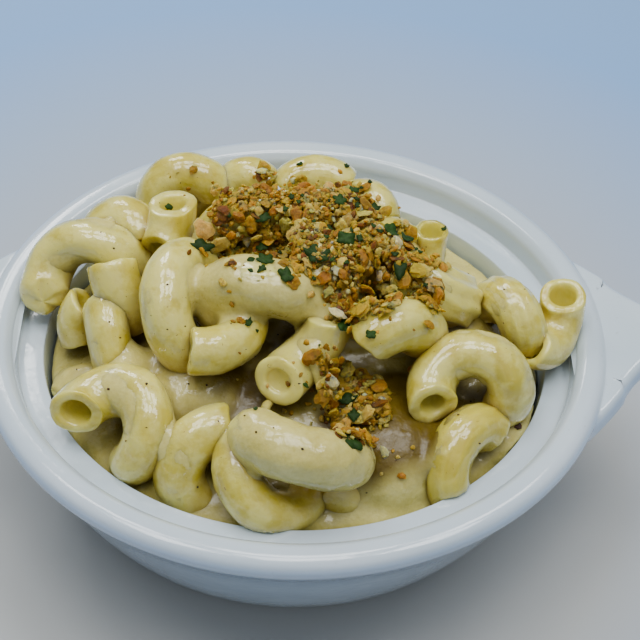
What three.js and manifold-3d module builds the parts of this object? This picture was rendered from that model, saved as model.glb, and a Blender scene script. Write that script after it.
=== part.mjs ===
// Mac and cheese in its oval eared dish. Millimetres, +Z up; the ears lie along X, the front of the
// dish faces -Y, and the origin is on the surface that the foot stands on, under the dish's middle.
import * as THREE from 'three';
import { mergeVertices } from 'three/addons/utils/BufferGeometryUtils.js';
import Module from 'manifold-3d';

const wasm = await Module();
wasm.setup();

// ---------------------------------------------------------------- driving dimensions

const RIM_HALF_LENGTH = 61; // half of the oval rim along X
const RIM_HALF_WIDTH = 55; // half of the oval rim along Y
const RIM_HEIGHT = 42; // top of the rounded lip
const LIP = 6.3; // width of the lip's top
const STEP = 5.8; // drop from the lip to the seat for a lid
const SEAT = 5.1; // width of that seat
const FOOT_INSET = 17; // the foot stands this far inside the rim
const FOOT_RECESS = 0.8; // hollow under the foot ring
const FLOOR = 5.5; // inside floor of the dish
const DISH_SIDES = 48; // facets round the dish
const FOOD_SIDES = 24; // facets round the food where it lies against the dish

const EAR_TIP = 74; // how far each ear reaches from the middle
const EAR_ROOT_HALF = 24; // half width where the ear leaves the rim
const EAR_THICK = 5;
const EAR_TILT = 12 * Math.PI / 180; // the ears rise a little towards their tips
const EAR_DROP = 0.6; // the ear's face starts this far under the lip's top

const GAP = 0.35; // clearance between the food and the dish
const TUBE_SIDES = 8; // facets round a noodle
const TUBE_STEP = 3.8; // length of a facet along a noodle
const BORE = 0.5; // a noodle's hole, as a share of its radius
const BORE_DEPTH = 5; // how far an open end is hollow

const CRUMB_COUNT = 72;
const CRUMB_SIZE = [1.1, 1.9]; // half length of a toasted crumb, smallest and largest
const FLAKE_COUNT = 9;
const FLAKE_SIZE = [2.0, 2.8]; // half length of a parsley flake
const SEED = 11;

const COLOURS = { glaze: 0xe4e6e8, pasta: 0xe0d8ac };

// ---------------------------------------------------------------- shared helpers

const radians = (degrees) => THREE.MathUtils.degToRad(degrees);

// Small repeatable random numbers between 0 and 1.
function makeRandom(seed) {
  let state = seed;
  return () => {
    state = (state + 0x6d2b79f5) | 0;
    let mixed = Math.imul(state ^ (state >>> 15), 1 | state);
    mixed = (mixed + Math.imul(mixed ^ (mixed >>> 7), 61 | mixed)) ^ mixed;
    return ((mixed ^ (mixed >>> 14)) >>> 0) / 4294967296;
  };
}

// A closed geometry as a solid: its shared corners joined and its collapsed facets left out.
function solid(geometry) {
  const bare = geometry.clone();
  bare.deleteAttribute('normal');
  bare.deleteAttribute('uv');
  const welded = mergeVertices(bare, 1e-4);
  const corners = Array.from(welded.index.array);
  const kept = [];
  for (let i = 0; i < corners.length; i += 3) {
    const [a, b, c] = corners.slice(i, i + 3);
    if (a !== b && b !== c && c !== a) kept.push(a, b, c);
  }
  return new wasm.Manifold(new wasm.Mesh({
    numProp: 3,
    vertProperties: new Float32Array(welded.attributes.position.array),
    triVerts: new Uint32Array(kept),
  }));
}

// A solid back as a geometry.
function geometryOf(body) {
  const mesh = body.getMesh();
  const geometry = new THREE.BufferGeometry();
  geometry.setAttribute('position', new THREE.BufferAttribute(mesh.vertProperties, 3));
  geometry.setIndex(new THREE.BufferAttribute(mesh.triVerts, 1));
  geometry.computeVertexNormals();
  return geometry;
}

// A profile of [inset from the rim's edge, height] turned about the dish's middle, then drawn in
// across its width so that it follows the oval rim at the same inset all the way round.
function oval(profile, sides) {
  const points = profile.map(([inset, z]) => new THREE.Vector2(Math.max(RIM_HALF_LENGTH - inset, 0), z));
  const geometry = new THREE.LatheGeometry(points, sides);
  geometry.rotateX(Math.PI / 2);
  const position = geometry.attributes.position;
  const middle = RIM_HALF_LENGTH / 2;
  for (let i = 0; i < position.count; i += 1) {
    const radius = Math.hypot(position.getX(i), position.getY(i));
    const narrower = (RIM_HALF_LENGTH - RIM_HALF_WIDTH) * Math.min(1, radius / middle);
    if (radius > 0) position.setY(i, position.getY(i) * (radius - narrower) / radius);
  }
  return solid(geometry);
}

// ---------------------------------------------------------------- the dish

const seatInner = LIP + 0.4 + SEAT; // inset of the edge where the seat turns down into the bowl
const seatHeight = RIM_HEIGHT - STEP;

// From the middle of the underside out to the foot ring, up the wall and round to the lip's top.
const outsideProfile = [
  [RIM_HALF_LENGTH, FOOT_RECESS], [FOOT_INSET + 5, FOOT_RECESS], [FOOT_INSET + 3.6, 0],
  [FOOT_INSET + 0.6, 0], [FOOT_INSET - 0.4, 0.9], [13.4, 6], [10.2, 13], [7.2, 21], [4.6, 28.5],
  [2.6, 33.5], [0.9, 36.6], [0, 38.8], [0.1, 40.2], [0.8, 41.3], [2, RIM_HEIGHT - 0.1],
];

// From the lip's top down the step, across the seat and down the bowl to the floor's middle.
const insideProfile = [
  [3.2, RIM_HEIGHT], [4.6, RIM_HEIGHT - 0.2], [5.6, RIM_HEIGHT - 1], [LIP, RIM_HEIGHT - 2.2],
  [LIP + 0.4, seatHeight + 0.7], [LIP + 1.1, seatHeight], [seatInner - 0.8, seatHeight - 0.2],
  [seatInner, seatHeight - 1.2], [12.6, 28], [14.2, 20], [17.6, 12.5], [22.5, 8.2], [30, FLOOR + 0.7],
  [RIM_HALF_LENGTH, FLOOR],
];

// One ear's outline seen from above: each side flares out of the rim, runs straight in towards the
// middle and turns into a broad round tip.
function earOutline(edge) {
  const tip = EAR_TIP - edge;
  const shape = new THREE.Shape();
  shape.moveTo(RIM_HALF_LENGTH - 12, -EAR_ROOT_HALF);
  shape.lineTo(RIM_HALF_LENGTH - 7, -EAR_ROOT_HALF);
  shape.quadraticCurveTo(RIM_HALF_LENGTH - 2.5, -19.2, RIM_HALF_LENGTH + 1, -15.2);
  shape.lineTo(tip - 6.5, -8.4);
  shape.bezierCurveTo(tip - 2.6, -4, tip, -3.4, tip, 0);
  shape.bezierCurveTo(tip, 3.4, tip - 2.6, 4, tip - 6.5, 8.4);
  shape.lineTo(RIM_HALF_LENGTH + 1, 15.2);
  shape.quadraticCurveTo(RIM_HALF_LENGTH - 2.5, 19.2, RIM_HALF_LENGTH - 7, EAR_ROOT_HALF);
  shape.lineTo(RIM_HALF_LENGTH - 12, EAR_ROOT_HALF);
  return shape;
}

// The ear at the +X end: a soft-edged tab, tilted up about its root.
function earGeometry() {
  const round = 1.2;
  const geometry = new THREE.ExtrudeGeometry(earOutline(round), {
    depth: EAR_THICK - 2 * round,
    bevelThickness: round,
    bevelSize: round,
    bevelSegments: 2,
    curveSegments: 4,
  });
  geometry.translate(-RIM_HALF_LENGTH, 0, round - EAR_THICK);
  geometry.rotateY(-EAR_TILT);
  geometry.translate(RIM_HALF_LENGTH, 0, RIM_HEIGHT - EAR_DROP);
  return geometry;
}

function makeDish() {
  const bowl = oval([...outsideProfile, ...insideProfile], DISH_SIDES);
  const insideOfLip = oval([
    [RIM_HALF_LENGTH, -10], [LIP - 2.4, -10], [LIP - 2.4, 80], [RIM_HALF_LENGTH, 80],
  ], DISH_SIDES);
  const right = earGeometry();
  const left = earGeometry().rotateZ(Math.PI);
  const ears = solid(right).add(solid(left)).subtract(insideOfLip);
  return bowl.add(ears);
}

// ---------------------------------------------------------------- the macaroni

// A noodle's middle line: a turn of corkscrew with its crown at a given place. It runs along
// `heading` (from +X towards +Y) and `climb` at the crown, curls down at roll 0 and to the left of
// its heading at roll 90, and slips sideways by `slip` in a full turn.
class Curl extends THREE.Curve {
  constructor({ crown, run, bend, sweep, slip }) {
    super();
    const [heading, climb, roll] = run.map(radians);
    this.along = new THREE.Vector3(
      Math.cos(climb) * Math.cos(heading), Math.cos(climb) * Math.sin(heading), Math.sin(climb));
    const left = new THREE.Vector3(-Math.sin(heading), Math.cos(heading), 0);
    const down = left.clone().cross(this.along);
    this.inward = down.multiplyScalar(Math.cos(roll)).addScaledVector(left, Math.sin(roll));
    this.across = this.along.clone().cross(this.inward);
    this.crown = new THREE.Vector3(...crown);
    this.bend = bend;
    this.sweep = radians(sweep);
    this.slip = slip;
  }

  getPoint(t, target = new THREE.Vector3()) {
    const angle = this.sweep * (t - 0.5);
    return target.copy(this.crown)
      .addScaledVector(this.along, this.bend * Math.sin(angle))
      .addScaledVector(this.inward, this.bend * (1 - Math.cos(angle)))
      .addScaledVector(this.across, this.slip * angle / (2 * Math.PI));
  }
}

// Every noodle that shows: its tube's radius, crown, run [heading, climb, roll], bend radius, sweep,
// slip, and which end shows its hole.
const noodles = [
  // left side, from the back corner forwards
  { tube: 4.7, crown: [-44.2, 13.5, 49.5], run: [-40, 50, -15], bend: 5, sweep: 265, slip: 24, open: 'start' },
  { tube: 4.7, crown: [-35, 20, 50], run: [-20, 15, -40], bend: 5, sweep: 155, slip: 0 },
  { tube: 4.8, crown: [-25, 15, 52.5], run: [-130, -45, 175], bend: 9, sweep: 65, slip: -16, open: 'start' },
  { tube: 4.8, crown: [-33.5, 0.5, 48.5], run: [-20, -40, 65], bend: 8.5, sweep: 80, slip: -26, open: 'start' },
  { tube: 4.3, crown: [-42.5, 0.5, 41], run: [-115, -65, 60], bend: 8, sweep: 60, slip: 0, open: 'start' },
  { tube: 4.4, crown: [-35.5, -7, 45], run: [-80, -40, 5], bend: 7.5, sweep: 105, slip: 4 },
  { tube: 3.6, crown: [-41.6, -9.5, 34], run: [10, 20, -15], bend: 7.5, sweep: 60, slip: 0 },
  { tube: 4.9, crown: [-24.5, -4.5, 56], run: [-90, -15, 30], bend: 9, sweep: 205, slip: -4 },
  { tube: 4.9, crown: [-28.5, -21.5, 45], run: [-65, 20, -55], bend: 5, sweep: 310, slip: 16, open: 'start' },
  // front, from left to right
  { tube: 4.8, crown: [-21, -31.5, 38.5], run: [-120, -65, 45], bend: 7.5, sweep: 180, slip: 4 },
  { tube: 4.7, crown: [-5.5, -40, 37], run: [-5, -35, 100], bend: 8, sweep: 205, slip: 0 },
  { tube: 5.3, crown: [1, -36.5, 49], run: [-5, -10, 50], bend: 9.5, sweep: 140, slip: -4 },
  { tube: 4.0, crown: [10, -35, 32.5], run: [-5, -40, 40], bend: 7.5, sweep: 70, slip: 0, open: 'end' },
  { tube: 4.7, crown: [29, -27.5, 40.5], run: [-120, -20, 25], bend: 7, sweep: 185, slip: -2 },
  // middle
  { tube: 4.7, crown: [-11, -12, 51], run: [60, -15, 90], bend: 9, sweep: 130, slip: 2, open: 'start' },
  { tube: 5.3, crown: [-10, -4.5, 58.5], run: [135, -15, -20], bend: 6, sweep: 230, slip: 18 },
  { tube: 4.8, crown: [2, -13, 48], run: [15, 15, -165], bend: 7.5, sweep: 125, slip: -26, open: 'start' },
  { tube: 5.0, crown: [19.5, -10.5, 54], run: [35, -20, 5], bend: 7, sweep: 125, slip: -6 },
  { tube: 5.5, crown: [25, 0.5, 52.5], run: [-15, -25, 45], bend: 8.5, sweep: 120, slip: 4 },
  // right side
  { tube: 4.8, crown: [33.2, -12.5, 49], run: [-30, 20, -40], bend: 5.5, sweep: 290, slip: 20, open: 'start' },
  { tube: 4.4, crown: [40.5, 1, 48.5], run: [-75, 10, 0], bend: 4.5, sweep: 235, slip: 8 },
  { tube: 4.4, crown: [49, -3.5, 41.2], run: [70, -15, 155], bend: 5.5, sweep: 235, slip: 12, open: 'end' },
  { tube: 3.6, crown: [26.5, 17, 45], run: [-70, -50, -155], bend: 8, sweep: 75, slip: 16, open: 'start' },
  { tube: 3.9, crown: [19.5, 17, 49.5], run: [35, -40, -20], bend: 5.5, sweep: 125, slip: 0 },
  // under the crumbs
  { tube: 4.6, crown: [-11, 14, 57], run: [10, 0, -30], bend: 6, sweep: 130, slip: 0 },
  { tube: 4.6, crown: [3.5, 14.5, 58], run: [0, -5, -50], bend: 7, sweep: 115, slip: 0 },
  { tube: 4.6, crown: [13.5, 6.5, 56], run: [25, -30, -35], bend: 6.5, sweep: 130, slip: 2 },
  { tube: 4.6, crown: [5.5, 1, 57.5], run: [-55, -25, -40], bend: 7.5, sweep: 100, slip: -2 },
  // along the back
  { tube: 4.5, crown: [-24, 35.2, 48.5], run: [-5, 10, -15], bend: 6.5, sweep: 165, slip: 6 },
  { tube: 4.1, crown: [-10.5, 36, 47.5], run: [-15, 15, -40], bend: 5, sweep: 120, slip: 0 },
  { tube: 4.4, crown: [3.5, 35.5, 48.5], run: [5, 0, -40], bend: 7.5, sweep: 105, slip: 0 },
  { tube: 4.3, crown: [14, 28, 49.5], run: [-35, 20, -30], bend: 4, sweep: 170, slip: 0 },
  { tube: 4.4, crown: [-14, 38.2, 40], run: [170, 5, 15], bend: 9, sweep: 120, slip: 0 },
  { tube: 4.4, crown: [6, 38.5, 40], run: [-5, 10, -10], bend: 8, sweep: 125, slip: 4 },
];

// The mass of pasta and sauce that the noodles lie in: a low dome across the whole bowl, then
// mounds of it as [middle, half sizes].
const mounds = [
  [[3, 12, 40], [26, 20, 15]], // the crest, under the crumbs
  [[2, 27, 34], [27, 14, 10]], // the slope behind it
  [[-28, 12, 34], [14, 15, 10]], // back left
  [[-20, -13, 36], [13, 12, 10]], // the sauce left of the middle
  [[17, -24, 34], [12, 13, 10]], // the sauce right of the middle
  [[28, 3, 36], [14, 13, 11]], // right
];

// A closed ring of points for a round section.
function roundSection(radius, sides) {
  const points = [];
  for (let i = 0; i < sides; i += 1) {
    const angle = 2 * Math.PI * i / sides;
    points.push(new THREE.Vector2(radius * Math.cos(angle), radius * Math.sin(angle)));
  }
  return new THREE.Shape(points);
}

// The hole in an open end: a short round pin, half in the noodle and half in front of it.
function endPin(path, radius, end) {
  const at = end === 'start' ? 0 : 1;
  const pin = new THREE.CylinderGeometry(radius, radius, 2 * BORE_DEPTH, 6);
  const turn = new THREE.Quaternion().setFromUnitVectors(new THREE.Vector3(0, 1, 0), path.getTangent(at));
  pin.applyQuaternion(turn);
  pin.translate(...path.getPoint(at).toArray());
  return solid(pin);
}

function makeNoodle(noodle) {
  const path = new Curl(noodle);
  const geometry = new THREE.ExtrudeGeometry(roundSection(noodle.tube, TUBE_SIDES), {
    steps: Math.ceil(path.getLength() / TUBE_STEP),
    extrudePath: path,
  });
  const tube = solid(geometry);
  return noodle.open ? tube.subtract(endPin(path, noodle.tube * BORE, noodle.open)) : tube;
}

function makeMound([middle, half]) {
  const geometry = new THREE.SphereGeometry(1, 14, 7);
  geometry.rotateX(Math.PI / 2);
  geometry.scale(...half);
  geometry.translate(...middle);
  return solid(geometry);
}

// The space that the food may fill: the bowl's inside, kept clear of the dish all the way up.
function makeRoom() {
  return oval([
    [RIM_HALF_LENGTH, FLOOR + GAP], [30, FLOOR + 0.7 + GAP], [22.5 + GAP, 8.4 + GAP],
    [17.6 + GAP, 12.5 + GAP], [14.2 + GAP, 20], [12.6 + GAP, 28], [seatInner + GAP, seatHeight - 1.2],
    [seatInner - 0.4 + GAP, seatHeight + GAP], [LIP + 0.4 + GAP, seatHeight + GAP],
    [LIP + GAP, RIM_HEIGHT - 2.2], [4.6, RIM_HEIGHT + GAP], [-4, RIM_HEIGHT + 3], [-4, 80],
    [RIM_HALF_LENGTH, 80],
  ], FOOD_SIDES);
}

// The low dome that fills the bowl, from the wall up to the middle.
function makeCore() {
  return oval([
    [RIM_HALF_LENGTH, 0], [8, 0], [8, 30], [13, 31], [22, 36], [34, 41], [RIM_HALF_LENGTH, 44],
  ], FOOD_SIDES);
}

// Where crumbs lie, as [x, y, half length, half width, share of the crumbs].
const crumbPatches = [
  [0, 20, 21, 12, 0.52],
  [17, 7, 11, 10, 0.2],
  [8, -11, 6, 9, 0.14],
  [9, -24, 6, 7, 0.14],
];

// A crumb or a flake, as a lump of irregular shape and turn.
function makeLump(geometry, half, place, random) {
  geometry.scale(...half);
  const turn = new THREE.Euler(random() * 6, random() * 6, random() * 6);
  geometry.applyQuaternion(new THREE.Quaternion().setFromEuler(turn));
  geometry.translate(...place.toArray());
  return solid(geometry);
}

// A random place in the patches, dropped on the surface of the food below it.
function dropPoint(surface, random) {
  let pick = random();
  let patch = crumbPatches[0];
  for (const candidate of crumbPatches) {
    if (pick < candidate[4]) {
      patch = candidate;
      break;
    }
    pick -= candidate[4];
  }
  const [x, y, halfLength, halfWidth] = patch;
  const angle = 2 * Math.PI * random();
  const reach = Math.sqrt(random());
  const above = new THREE.Vector3(
    x + halfLength * reach * Math.cos(angle), y + halfWidth * reach * Math.sin(angle), 90);
  const hits = new THREE.Raycaster(above, new THREE.Vector3(0, 0, -1)).intersectObject(surface);
  return hits[0].point;
}

function makeToppings(food) {
  const random = makeRandom(SEED);
  const surface = new THREE.Mesh(geometryOf(food));
  const toppings = [];
  const sizeIn = ([small, large]) => small + (large - small) * random();
  for (let i = 0; i < CRUMB_COUNT; i += 1) {
    const half = sizeIn(CRUMB_SIZE);
    const lump = [half, half * (0.55 + 0.3 * random()), half * (0.4 + 0.2 * random())];
    toppings.push(makeLump(new THREE.IcosahedronGeometry(1), lump, dropPoint(surface, random), random));
  }
  for (let i = 0; i < FLAKE_COUNT; i += 1) {
    const half = sizeIn(FLAKE_SIZE);
    const place = dropPoint(surface, random);
    toppings.push(makeLump(new THREE.OctahedronGeometry(1), [half, half * 0.6, 0.7], place, random));
  }
  return toppings;
}

// The heap in one piece. Hollows that joining seals are filled, and loose scraps are left out,
// because only the largest closed surface is kept.
function makeMacaroni() {
  const lumps = [makeCore(), ...mounds.map(makeMound), ...noodles.map(makeNoodle)];
  const plain = wasm.Manifold.union(lumps);
  const heap = wasm.Manifold.union([plain, ...makeToppings(plain)]).intersect(makeRoom());
  const pieces = heap.decompose();
  return pieces.reduce((largest, piece) => (piece.volume() > largest.volume() ? piece : largest));
}

// ---------------------------------------------------------------- the object

function part(name, body, colour, roughness) {
  const material = new THREE.MeshStandardMaterial({ color: colour, roughness, metalness: 0 });
  const mesh = new THREE.Mesh(geometryOf(body), material);
  mesh.name = name;
  return mesh;
}

const macAndCheese = new THREE.Group();
macAndCheese.add(part('dish', makeDish(), COLOURS.glaze, 0.12));
macAndCheese.add(part('macaroni', makeMacaroni(), COLOURS.pasta, 0.3));

export default macAndCheese;
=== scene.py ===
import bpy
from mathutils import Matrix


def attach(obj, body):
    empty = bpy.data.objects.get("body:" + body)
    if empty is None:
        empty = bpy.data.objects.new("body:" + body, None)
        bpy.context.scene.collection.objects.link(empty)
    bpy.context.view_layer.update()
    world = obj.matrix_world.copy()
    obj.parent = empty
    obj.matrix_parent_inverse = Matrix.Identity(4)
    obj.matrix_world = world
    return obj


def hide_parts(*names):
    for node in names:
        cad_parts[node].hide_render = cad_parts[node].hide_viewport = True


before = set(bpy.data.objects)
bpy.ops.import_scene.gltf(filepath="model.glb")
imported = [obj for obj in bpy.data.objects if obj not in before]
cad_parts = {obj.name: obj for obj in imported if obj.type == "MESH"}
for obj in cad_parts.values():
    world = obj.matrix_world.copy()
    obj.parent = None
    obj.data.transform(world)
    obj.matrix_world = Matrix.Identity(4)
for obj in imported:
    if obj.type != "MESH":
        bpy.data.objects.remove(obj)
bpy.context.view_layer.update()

# Macaroni cheese in its oval eared dish, dressed around the CAD frame. Shapes are worked out in
# millimetres, in the frame's own axes, and become metres when a mesh is made.
import math
import random

import bmesh
import bpy
import numpy
from mathutils import Matrix, Vector, noise
from mathutils.bvhtree import BVHTree

MM = 0.001

# ------------------------------------------------------------------ driving dimensions, mm

RIM_HALF_LENGTH = 61.0
RIM_HALF_WIDTH = 55.0
RIM_HEIGHT = 42.0
LIP = 6.3
STEP = 5.8
SEAT = 5.1
FOOT_INSET = 17.0
FOOT_RECESS = 0.8
FLOOR = 5.5
EAR_TIP = 74.0
EAR_ROOT_HALF = 24.0
EAR_THICK = 5.0
EAR_TILT = math.radians(12)
EAR_DROP = 0.6
GAP = 0.35
FOOD_TOP = 64.1  # nothing on the heap stands higher
NEAR_TOP = FOOD_TOP - 3.0  # sauce is flattened more and more from here up
CRUMB_TOP = FOOD_TOP - 0.5

SEAT_INNER = LIP + 0.4 + SEAT
SEAT_HEIGHT = RIM_HEIGHT - STEP

BORE = 0.5  # a noodle's hole, as a share of its radius
BORE_DEPTH = 9.0
TUBE_SIDES = 36
TUBE_STEP = 0.85
OVAL_SIDES = 192
EAR_EDGE = 1.9  # the radius of an ear's soft edge
EAR_ARC = 7  # rings in that edge

SAUCE_VOXEL = 0.75
SAUCE_SMOOTHING = 30
SETTLE = 0.22  # what the smoothing takes off a rod
BARE_END = 6.5  # how much of a noodle's end is left without its coat of sauce
ROD_SIDES = 20
ROD_STEPS = 26
DOME_SIDES = 64

# ------------------------------------------------------------------ meshes


def linked(name, data):
    """A new object in the scene, with its mesh, light or camera."""
    obj = bpy.data.objects.new(name, data)
    bpy.context.scene.collection.objects.link(obj)
    return obj


def new_object(name, points, faces, material, smooth=True):
    """A mesh object from points in millimetres."""
    mesh = bpy.data.meshes.new(name)
    mesh.from_pydata([(x * MM, y * MM, z * MM) for x, y, z in points], [], faces)
    mesh.validate()
    mesh.update()
    mesh.polygons.foreach_set("use_smooth", [smooth] * len(mesh.polygons))
    mesh.materials.append(material)
    return linked(name, mesh)


def baked(obj):
    """The object's mesh with its modifiers applied, and no modifiers left."""
    graph = bpy.context.evaluated_depsgraph_get()
    mesh = bpy.data.meshes.new_from_object(obj.evaluated_get(graph))
    obj.modifiers.clear()
    obj.data = mesh
    return obj


def spline(points, steps):
    """A smooth curve through the points."""
    out = []
    last = len(points) - 1
    for i in range(last):
        p0, p1 = points[max(i - 1, 0)], points[i]
        p2, p3 = points[i + 1], points[min(i + 2, last)]
        for k in range(steps):
            t = k / steps
            out.append(tuple(
                0.5 * (2 * b + (c - a) * t + (2 * a - 5 * b + 4 * c - d) * t * t
                       + (3 * b - a - 3 * c + d) * t ** 3)
                for a, b, c, d in zip(p0, p1, p2, p3)))
    out.append(tuple(points[-1]))
    return out


def noise_at(point, scale, seed):
    """Smooth noise from -1 to 1, with features about `scale` millimetres across."""
    return noise.noise(Vector(point) / scale + Vector((seed, -seed, 2 * seed)))


# ------------------------------------------------------------------ the dish's oval


def oval_point(inset, angle, z):
    radius = max(RIM_HALF_LENGTH - inset, 0.0)
    narrower = (RIM_HALF_LENGTH - RIM_HALF_WIDTH) * min(1.0, radius / (RIM_HALF_LENGTH / 2))
    return (radius * math.cos(angle), (radius - narrower) * math.sin(angle), z)


def inset_of(x, y):
    """How far inside the rim's oval a point lies."""
    flat = RIM_HALF_LENGTH - RIM_HALF_WIDTH
    radius = math.hypot(x, y)
    for _ in range(6):
        narrow = max(radius - flat * min(1.0, radius / (RIM_HALF_LENGTH / 2)), 1e-6)
        stretch = math.sqrt((x / max(radius, 1e-6)) ** 2 + (y / narrow) ** 2)
        radius *= stretch
        if radius < 1e-6:
            break
    return RIM_HALF_LENGTH - radius


# The dish's section as (inset, height): outside, from the foot up, and inside, from the lip down.
OUTSIDE_PROFILE = [
    (FOOT_INSET + 5, FOOT_RECESS), (FOOT_INSET + 3.6, 0),
    (FOOT_INSET + 0.6, 0), (FOOT_INSET - 0.4, 0.9), (13.4, 6), (10.2, 13), (7.2, 21), (4.6, 28.5),
    (2.6, 33.5), (0.9, 36.6), (0, 38.8), (0.1, 40.2), (0.8, 41.3), (2, RIM_HEIGHT - 0.1),
]
INSIDE_PROFILE = [
    (3.2, RIM_HEIGHT), (4.6, RIM_HEIGHT - 0.2), (5.6, RIM_HEIGHT - 1), (LIP, RIM_HEIGHT - 2.2),
    (LIP + 0.4, SEAT_HEIGHT + 0.7), (LIP + 1.1, SEAT_HEIGHT), (SEAT_INNER - 0.8, SEAT_HEIGHT - 0.2),
    (SEAT_INNER, SEAT_HEIGHT - 1.2), (12.6, 28), (14.2, 20), (17.6, 12.5), (22.5, 8.2),
    (30, FLOOR + 0.7), (RIM_HALF_LENGTH, FLOOR),
]


def wall_inset(z):
    """How far inside the rim the dish's inner face is, at a height."""
    if z >= RIM_HEIGHT:
        return 3.2 - 8 * (z - RIM_HEIGHT)
    rows = INSIDE_PROFILE
    for (i0, z0), (i1, z1) in zip(rows, rows[1:]):
        if z1 <= z <= z0:
            return i0 + (i1 - i0) * (z0 - z) / max(z0 - z1, 1e-6)
    return RIM_HALF_LENGTH


def clear_of_dish(point):
    """The point moved, where it has to be, to the gap inside the dish."""
    x, y, z = point
    z = max(z, FLOOR + GAP + 0.3)
    over = wall_inset(z) + GAP - inset_of(x, y)
    if over > 0:
        reach = math.hypot(x, y)
        keep = max(reach - over, 0) / max(reach, 1e-6)
        x, y = x * keep, y * keep
    return (x, y, z)


# ------------------------------------------------------------------ materials


class Nodes:
    """A material's node tree, with short ways to add nodes to it."""

    def __init__(self, name):
        self.material = bpy.data.materials.new(name)
        self.material.use_nodes = True
        self.tree = self.material.node_tree
        self.shader = next(n for n in self.tree.nodes if n.type == "BSDF_PRINCIPLED")
        self.place = self.add("ShaderNodeTexCoord").outputs["Object"]

    def add(self, kind, **settings):
        node = self.tree.nodes.new(kind)
        for key, value in settings.items():
            setattr(node, key, value)
        return node

    def link(self, source, target):
        self.tree.links.new(source, target)

    def set(self, **values):
        for key, value in values.items():
            self.shader.inputs[key.replace("_", " ")].default_value = value

    def noise(self, size, detail=3.0, rough=0.55):
        """Noise with features about `size` millimetres across."""
        node = self.add("ShaderNodeTexNoise")
        node.inputs["Scale"].default_value = 1 / (size * MM)
        node.inputs["Detail"].default_value = detail
        node.inputs["Roughness"].default_value = rough
        self.link(self.place, node.inputs["Vector"])
        return node.outputs["Fac"]

    def ramp(self, source, *stops):
        """A ramp of (position, value or colour) stops."""
        node = self.add("ShaderNodeValToRGB")
        elements = node.color_ramp.elements
        while len(elements) < len(stops):
            elements.new(0.5)
        for element, (position, value) in zip(elements, stops):
            element.position = position
            colour = (value,) * 3 if isinstance(value, (int, float)) else value
            element.color = (*colour, 1)
        self.link(source, node.inputs["Fac"])
        return node.outputs["Color"]

    def mix(self, factor, a, b, blend="MIX"):
        node = self.add("ShaderNodeMix", data_type="RGBA", blend_type=blend)
        for value, socket in ((factor, node.inputs[0]), (a, node.inputs[6]), (b, node.inputs[7])):
            if isinstance(value, bpy.types.NodeSocket):
                self.link(value, socket)
            elif isinstance(value, (int, float)):
                socket.default_value = value
            else:
                socket.default_value = (*value, 1)
        return node.outputs[2]

    def attribute(self, name):
        return self.add("ShaderNodeAttribute", attribute_name=name)

    def bump(self, height, strength, distance, after=None):
        node = self.add("ShaderNodeBump")
        node.inputs["Strength"].default_value = strength
        node.inputs["Distance"].default_value = distance * MM
        self.link(height, node.inputs["Height"])
        if after:
            self.link(after, node.inputs["Normal"])
        return node.outputs["Normal"]

    def connect(self, **sources):
        for key, source in sources.items():
            self.link(source, self.shader.inputs[key.replace("_", " ")])


def srgb(red, green, blue):
    """A colour given as it looks, as the linear colour that shaders take."""
    return tuple(
        c / 12.92 if c <= 0.04045 else ((c + 0.055) / 1.055) ** 2.4
        for c in (red / 255, green / 255, blue / 255))


def glaze_material():
    m = Nodes("glaze")
    m.set(IOR=1.5, Coat_Weight=0.6, Coat_Roughness=0.05, Coat_IOR=1.5)
    body = m.ramp(m.noise(30, 2), (0.3, srgb(184, 200, 212)), (0.7, srgb(198, 210, 220)))
    specks = m.ramp(m.noise(0.9, 1), (0.22, srgb(222, 220, 214)), (0.27, (1.0, 1.0, 1.0)))
    m.connect(Base_Color=m.mix(0.35, body, specks, "MULTIPLY"),
              Roughness=m.ramp(m.noise(6, 3), (0.35, 0.1), (0.7, 0.2)),
              Normal=m.bump(m.noise(3.2, 2), 0.25, 0.25, m.bump(m.noise(14, 1), 0.3, 0.6)),
              Coat_Normal=m.bump(m.noise(1.8, 2), 0.3, 0.1))
    return m.material


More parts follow.
